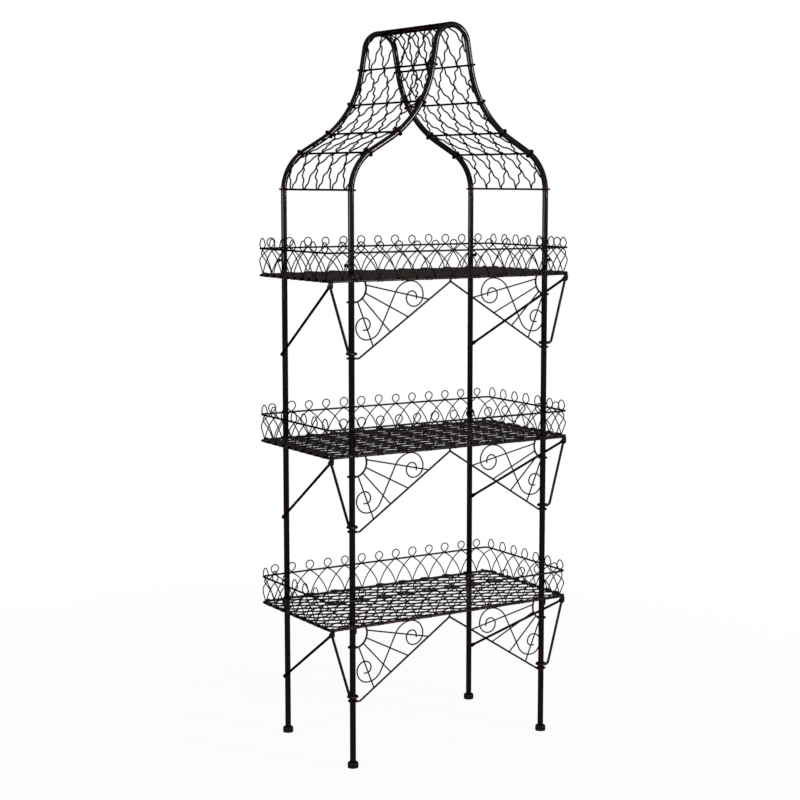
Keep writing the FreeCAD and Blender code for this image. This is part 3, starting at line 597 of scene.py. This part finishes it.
def deck_wires():
    """Crimped wires of a deck in two layers.

    Each has a sine sideways and a smaller one in height. Near a post a bell curve takes the sine
    away and bows the wire clear of it.
    """
    room = post_r + deck_wire_r + deck_post_gap
    paths = []
    for lean, index, first, last in deck_lines():
        t = np.linspace(first, last, deck_stations)
        x, y, side = deck_place(lean, index, t)
        run = np.array([side[1], -side[0]])
        wave = deck_wave * np.sin(2 * np.pi * t)
        start = np.array(deck_place(lean, index, 0.0)[:2])
        for sx, sy in corners.values():
            away = np.array([sx * post_x, sy * post_y]) - start
            offset = away @ side
            if abs(offset) < room + deck_wave:
                nearest = away @ run / math.hypot(cell_x, cell_y) * 2
                near = np.exp(-((t - nearest) / deck_bow_share) ** 2)
                push = math.copysign(max(room - abs(offset), 0.0), -offset)
                wave = wave * (1 - near) + push * near
        layer = lean * (deck_layer_share + deck_weave_share * np.cos(np.pi * (t + index)))
        z = deck_lift + deck_wire_r * layer
        paths.append(np.stack([x + side[0] * wave, y + side[1] * wave, z], -1))
    return [sleeve(np.array(paths), UP, deck_wire_r, wire_sides)]


def rim_wraps():
    """The deck wires' ends turned about twice round the rim.

    Each is a helix about the rim's axis, oval and taller than wide.
    """
    turn = np.linspace(0, 2 * np.pi * wrap_turns, wrap_stations)
    straight = tray_x - rim_corner
    paths = []
    for lean, index, _, _ in deck_lines():
        for t in (abs(index) - deck_cells, deck_cells - abs(index)):
            x, y, _ = deck_place(lean, index, t)
            if tray_y - abs(y) < tray_x - abs(x):
                axis, inward = ACROSS, -np.sign(y) * DEEP
                middle = np.array([np.clip(x, -straight, straight), np.sign(y) * tray_y, 0])
            else:
                axis, inward = DEEP, -np.sign(x) * ACROSS
                middle = np.array([np.sign(x) * tray_x, y, 0])
            creep = (wrap_start + wrap_pitch * turn / (2 * np.pi)) * lean
            ring = (wrap_wide * np.cos(turn)[:, None] * inward
                    + wrap_tall * np.sin(turn)[:, None] * UP)
            seat = middle + wrap_inset * inward + wrap_lift * UP
            paths.append(seat + ring + creep[:, None] * axis)
    paths = np.array(paths)
    bind = np.gradient(np.gradient(paths, axis=1), axis=1)
    return [sleeve(paths, unit(bind), wrap_r, wrap_sides)]


def gallery_hoops():
    """Interlaced hoops round a tray, each bent a little differently as by hand.

    Flat on the side of the tray a hoop is a leg bowed on an arc from the rim, a short flare that
    bends back up to the rail, a straight neck, most of a circle above the rail, and the same back.
    It lies inside the rail on its first leg and outside on its second, and comes to the middle by
    a cubic step in the first part of the loop. The flat shape is wrapped on the outline by
    distance.
    """
    pitch = outline_length / hoop_count
    which = np.arange(hoop_count)
    centre = (which * pitch + hand.normal(0, hoop_vary, hoop_count))[:, None]
    loop = (loop_r * (1 + hand.normal(0, loop_vary_share, hoop_count)))[:, None]
    high = (loop_rise + hand.normal(0, rise_vary, hoop_count))[:, None]
    reach = hoop_reach_share * pitch
    cross = np.arccos(loop / high)
    flare = math.radians(hoop_flare)
    flare_run = flare_r * (np.sin(cross) - math.sin(flare))
    flare_climb = flare_r * (math.cos(flare) - np.cos(cross))
    leg_run, leg_climb = reach - flare_run, rail_rise - rim_r - flare_climb
    chord = np.arctan2(leg_climb, leg_run)
    lean = chord - flare
    leg_radius = np.hypot(leg_run, leg_climb) / (2 * np.sin(lean))
    neck = np.sqrt(high ** 2 - loop ** 2)
    spread = rail_r + hoop_r - hoop_press
    # Along half a hoop t is 0 to 1 on the leg, to 1.5 on the flare, to 2 on the neck and to 2.5
    # on the loop
    t = np.concatenate([np.linspace(0, 1, hoop_leg_stations), np.linspace(1, 2, neck_stations)[1:],
                        np.linspace(2, 2.5, loop_stations)[1:]])[None]
    heading = chord + lean - 2 * lean * np.clip(t, 0, 1)
    leg_across = leg_radius * (np.sin(chord + lean) - np.sin(heading)) - reach
    leg_rise = leg_radius * (np.cos(heading) - np.cos(chord + lean)) + rim_r
    bent = flare + (cross - flare) * np.clip(2 * t - 2, 0, 1)
    bent_across = flare_r * (np.sin(bent) - math.sin(flare)) - flare_run
    bent_rise = rail_rise - flare_climb + flare_r * (math.cos(flare) - np.cos(bent))
    run = neck * np.clip(2 * t - 3, 0, 1)
    turned = np.clip(2 * (t - 2) / loop_settle, 0, 1)
    angle = cross - np.pi / 2 + (2 * np.pi - 2 * cross) * (t - 2)
    stages = [t + 0 * loop <= end for end in (1, 1.5, 2)]
    across = np.select(stages, [leg_across, bent_across, run * np.cos(cross)], loop * np.cos(angle))
    rise = np.select(stages, [leg_rise, bent_rise, rail_rise + run * np.sin(cross)],
                     rail_rise + high + loop * np.sin(angle))
    climbed = spread * np.clip((rise - rim_r) / (rail_rise - rim_r), 0, 1)
    out = np.where(stages[2], climbed, spread * (1 - turned) ** 2 * (1 + 2 * turned))
    across = np.concatenate([across, -across[:, -2::-1]], 1)
    rise = np.concatenate([rise, rise[:, -2::-1]], 1)
    out = np.concatenate([-out, out[:, -2::-1]], 1)
    x, y, outward = on_outline(centre + across)
    paths = np.stack([x + outward[..., 0] * out, y + outward[..., 1] * out, rise], -1)
    bind = np.concatenate([outward, np.zeros_like(x)[..., None]], -1)
    return [sleeve(paths, bind, hoop_r, wire_sides)]


rail_ring = ring_round_tray(rail_r, ring_sides)
border = ring_round_tray(border_r, border_sides, border_inset, border_lift)
deck_mesh = deck_wires() + rim_wraps() + border
for tray, z in rim_heights.items():
    piece(tray + "_deck_wires", raised(deck_mesh, z), deck_black_painted_sheen, "wire", tray + "_deck")
    piece(tray + "_gallery_rail_rounded", raised(rail_ring, z + rail_rise), wire_black, "wire",
          tray + "_gallery_rail")
    piece(tray + "_gallery_hoops", raised(gallery_hoops(), z), wire_black, "wire",
          tray + "_hoops_front_rear", tray + "_hoops_left_right", tray + "_hoops_corners")


# Fan brackets

def diagonal_ends(end_x):
    """The corner of a left bracket's diagonal near the post, and its end under the rim."""
    corner = np.array([-post_x + fan_eye + diagonal_run, -diagonal_drop])
    return corner, np.array([end_x, -meeting_drop])


def fan_rods(end_x):
    """The collar and the diagonal of a left bracket, with their eyes, at rim height zero.

    The collar is a run and an arc up to the rim. The diagonal is a run, a bend and a straight rod:
    the bend starts and ends at its radius times the tangent of half its turn from the corner.
    """
    turn = 90.0 + math.degrees(math.asin((collar_drop - collar_bend - rim_r) / collar_bend))
    collar = walk(-post_x, -collar_drop, 0.0, [(collar_run,), (collar_bend, turn)])
    corner, end = diagonal_ends(end_x)
    run_x, run_z = end - corner
    slope = math.atan2(run_z, run_x)
    setback = diagonal_bend * math.tan(slope / 2)
    moves = [(fan_eye + diagonal_run - setback,), (diagonal_bend, math.degrees(slope)),
             (math.hypot(run_x, run_z) - setback,)]
    diagonal = walk(-post_x, -diagonal_drop, 0.0, moves)
    eyes = [eye_path(-drop, fan_eye, 1) for drop in (collar_drop, diagonal_drop)]
    return ([sleeve(path, UP, fan_r, ring_sides) for path in eyes]
            + [sleeve(upright(path, fan_y), DEEP, fan_r, rod_sides) for path in (collar, diagonal)])


def fan_spokes(end_x):
    """Straight spokes from the collar to shares of the diagonal, with a small bead at each end."""
    corner, end = diagonal_ends(end_x)
    angle = np.radians(-np.array(spoke_angles))
    start = np.array([-post_x + collar_run, collar_bend - collar_drop])
    start = start + (collar_bend + fan_r) * np.stack([np.cos(angle), np.sin(angle)], -1)
    stop = corner + np.array(spoke_shares)[:, None] * (end - corner)
    stop = stop - unit(stop - start) * fan_r
    share = np.linspace(0, 1, spoke_stations)[:, None]
    flat = start[:, None] + (stop - start)[:, None] * share
    paths = np.stack([flat[..., 0], np.full(flat.shape[:2], fan_y), flat[..., 1]], -1)
    ends = paths[:, [0, -1]].reshape(-1, 3)
    return [sleeve(paths, DEEP, spoke_r, ring_sides), bead(ends, spoke_bead)]


def scroll_half(curl):
    """Moves of half a scroll: stem, bow, and quarter turns that tighten by one share each."""
    stem, bow, radius, share, quarters = curl
    turns = [(radius * share ** i, -90.0) for i in range(quarters)]
    return [(stem,), (bow, -scroll_lean), *turns, (scroll_tip,)]


def scroll_wire():
    """The S-shaped scroll behind the spokes of a left bracket."""
    x, z = -post_x + scroll_reach, -scroll_drop
    up = walk(x, z, scroll_lean, scroll_half(upper_curl), scroll_spacing)
    down = walk(x, z, scroll_lean + 180.0, scroll_half(lower_curl), scroll_spacing)
    path = upright(np.concatenate([down[:0:-1], up]), fan_y + spoke_r + scroll_r + scroll_gap)
    return [sleeve(path, DEEP, scroll_r, ring_sides)]


def meeting_hook():
    """The short upright between the diagonals' ends and the rim, with a weld bead at its foot."""
    z = np.linspace(-meeting_drop, hook_sink - rim_r, hook_stations)
    path = np.stack([np.full(hook_stations, meeting_x), np.full(hook_stations, fan_y), z], -1)
    return [sleeve(path, DEEP, fan_r, rod_sides), bead([path[0]], hook_bead)]


fan_left, fan_right = fan_rods(meeting_x) + meeting_hook(), mirrored(fan_rods(-meeting_x))
spokes = fan_spokes(meeting_x) + mirrored(fan_spokes(-meeting_x))
scroll_left = scroll_wire()
scroll_right = mirrored(scroll_left)
for tray, z in rim_heights.items():
    piece(tray + "_fan_rods_left", raised(fan_left, z), rod_bronze, "wire", tray + "_fan_left")
    piece(tray + "_fan_rods_right", raised(fan_right, z), rod_bronze, "wire", tray + "_fan_right")
    piece(tray + "_fan_spokes", raised(spokes, z), wire_black, "wire", tray + "_spokes")
    piece(tray + "_scroll_wire_left", raised(scroll_left, z), wire_black, "wire",
          tray + "_scroll_left")
    piece(tray + "_scroll_wire_right", raised(scroll_right, z), wire_black, "wire",
          tray + "_scroll_right")


# Side braces

def strut_rod():
    """The strut of the left end at rim height zero.

    An open eye round the front post, a run to the left, a corner on the curve
    (1-s)^2 A + 2 s (1-s) B + s^2 C, and a straight run up to the tab, where the rod is beaten to a
    flat round.
    """
    ring = post_r + eye_gap + brace_r
    eye = eye_path(-strut_drop, ring, -1)
    turn = eye[-1] - ACROSS * (ring + strut_run)
    top = brace_hole + strut_seat * DEEP
    first, last = turn + strut_corner * ACROSS, turn + strut_corner * unit(top - turn)
    s = np.linspace(0, 1, bend_stations)[:, None]
    bend = (1 - s) ** 2 * first + 2 * s * (1 - s) * turn + s ** 2 * last
    run = last + (top - last) * np.linspace(0, 1, strut_stations)[1:, None]
    path = np.concatenate([eye, bend, run])
    return [sleeve(path, UP, brace_r, ring_sides), bead([top], brace_bead)]


def stay_rod():
    """The stay of the left end: straight from a flat round at the tab to the rear post's side.

    Over the tongue's length it is beaten out by a cubic step: the radius grows, and the thickness
    across the post's side shrinks to a share of it.
    """
    front = brace_hole + stay_seat * DEEP
    rear = np.array([-post_x - post_r - stay_offset, post_y, -stay_drop])
    length = np.linalg.norm(rear - front)

    def beaten(share):
        s = np.clip(1 - (1 - share) * length / tongue_length, 0, 1)
        return s ** 2 * (3 - 2 * s)

    share = np.concatenate([np.linspace(0, plain_share, plain_stations),
                            np.linspace(plain_share, 1, tongue_stations)[1:]])
    radius = brace_r + (tongue_r - brace_r) * beaten(share)
    points, quads, tris = sleeve(front + (rear - front) * share[:, None], UP, radius, rod_sides)
    along = np.clip((points - front) @ (rear - front) / length ** 2, 0, 1)
    middle = front[0] + along * (rear[0] - front[0])
    points[:, 0] = middle + (points[:, 0] - middle) * (1 - (1 - tongue_share) * beaten(along))
    return [(points, quads, tris), bead([front], brace_bead)]


struts, stays = strut_rod(), stay_rod()
for tray, z in rim_heights.items():
    for kind, rods in (("strut", struts), ("stay", stays)):
        piece(tray + "_" + kind + "_rods", raised(rods + mirrored(rods), z), rod_bronze, "wire",
              tray + "_" + kind + "s")


# Finishes of the solids that stay as they are

finishes = {"ridge_bar": ridge_bronze, "tube": tube_bronze_painted_sheen, "rod": rod_bronze, "wire": rod_bronze,
            "fasteners": screw_black, "feet": foot_black}
for entry in frame["record"]["subparts"]:
    solid = frame["nodes"][entry["node"]]
    solid.data.materials.clear()
    solid.data.materials.append(finishes.get(entry["node"]) or finishes[entry["material_slot"]])


# Floor, light and camera, in metres

def seen_ray(tree):
    """One on rays from the camera, off gloss or through glass, zero on rays that light the rack."""
    ray = add(tree, "ShaderNodeLightPath").outputs
    seen = calc(tree, "MAXIMUM", ray["Is Camera Ray"], ray["Is Glossy Ray"])
    return calc(tree, "MAXIMUM", seen, ray["Is Transmission Ray"])


def studio_floor(half=9.0, grey=0.86, near=0.6, far=2.4, near_white=0.94):
    """A wide level floor whose white shows to the camera with the rack's soft shadow left on it.

    The share of plain white grows with the distance from the rack, so that no far edge shows.
    """
    mesh = bpy.data.meshes.new("studio_floor")
    edges = [(-half, -half, 0), (half, -half, 0), (half, half, 0), (-half, half, 0)]
    mesh.from_pydata(edges, [], [(0, 1, 2, 3)])
    floor = bpy.data.objects.new("studio_floor", mesh)
    bpy.context.collection.objects.link(floor)
    finish = bpy.data.materials.new("floor_white")
    finish.use_nodes = True
    tree = finish.node_tree
    tree.nodes.clear()
    matt = add(tree, "ShaderNodeBsdfDiffuse", {"Color": (grey, grey, grey, 1)}).outputs[0]
    white = add(tree, "ShaderNodeEmission", {"Strength": 1.0}).outputs[0]
    place = add(tree, "ShaderNodeTexCoord").outputs["Object"]
    away = add(tree, "ShaderNodeVectorMath", {0: place}, operation="LENGTH").outputs["Value"]
    share = calc(tree, "MULTIPLY", seen_ray(tree), ramp(tree, away, near, far, near_white, 1.0))
    mix = add(tree, "ShaderNodeMixShader", {0: share, 1: matt, 2: white}).outputs[0]
    add(tree, "ShaderNodeOutputMaterial", {"Surface": mix})
    mesh.materials.append(finish)


def studio_world(light=0.16):
    """White to the camera and in reflections, softer as light on the rack."""
    world = bpy.data.worlds.new("studio_world")
    bpy.context.scene.world = world
    world.use_nodes = True
    tree = world.node_tree
    sky = tree.nodes["Background"]
    sky.inputs["Color"].default_value = (1, 1, 1, 1)
    tree.links.new(ramp(tree, seen_ray(tree), 0.0, 1.0, light, 1.0), sky.inputs["Strength"])


def strip_box(name, place, target, size, power):
    """An upright soft box that faces a point on the rack."""
    lamp = bpy.data.lights.new(name, "AREA")
    lamp.shape = "RECTANGLE"
    lamp.size, lamp.size_y = size
    lamp.energy = power
    obj = bpy.data.objects.new(name, lamp)
    bpy.context.collection.objects.link(obj)
    x, y, z = np.array(target) - np.array(place)
    obj.location = place
    obj.rotation_euler = (math.atan2(math.hypot(x, y), -z), 0, math.atan2(-x, y))


def photo_camera(tilt=7.031, turn=-31.882):
    """The camera where the photograph was taken from, fitted to the posts and rims."""
    data = bpy.data.cameras.new("photo_camera")
    data.sensor_width = 36.0
    data.lens = 80.4
    data.shift_x, data.shift_y = -0.0073, -0.0016
    data.clip_end = 60.0
    camera = bpy.data.objects.new("photo_camera", data)
    bpy.context.collection.objects.link(camera)
    camera.location = (-2.6255, -4.1748, 1.5599)
    camera.rotation_euler = (math.radians(90 - tilt), 0, math.radians(turn))
    bpy.context.scene.camera = camera


studio_floor()
studio_world()
strip_box("box_right", place=(2.72, -5.35, 2.08), target=(0, 0, 1.7), size=(0.4, 1.15), power=320)
strip_box("box_back", place=(3.4, 0.9, 1.6), target=(0, 0, 1.6), size=(0.3, 1.1), power=40)
strip_box("box_left", place=(-2.95, -0.57, 1.45), target=(0, 0, 1.45), size=(0.3, 0.6), power=40)
photo_camera()
bpy.context.scene.view_settings.view_transform = "Standard"
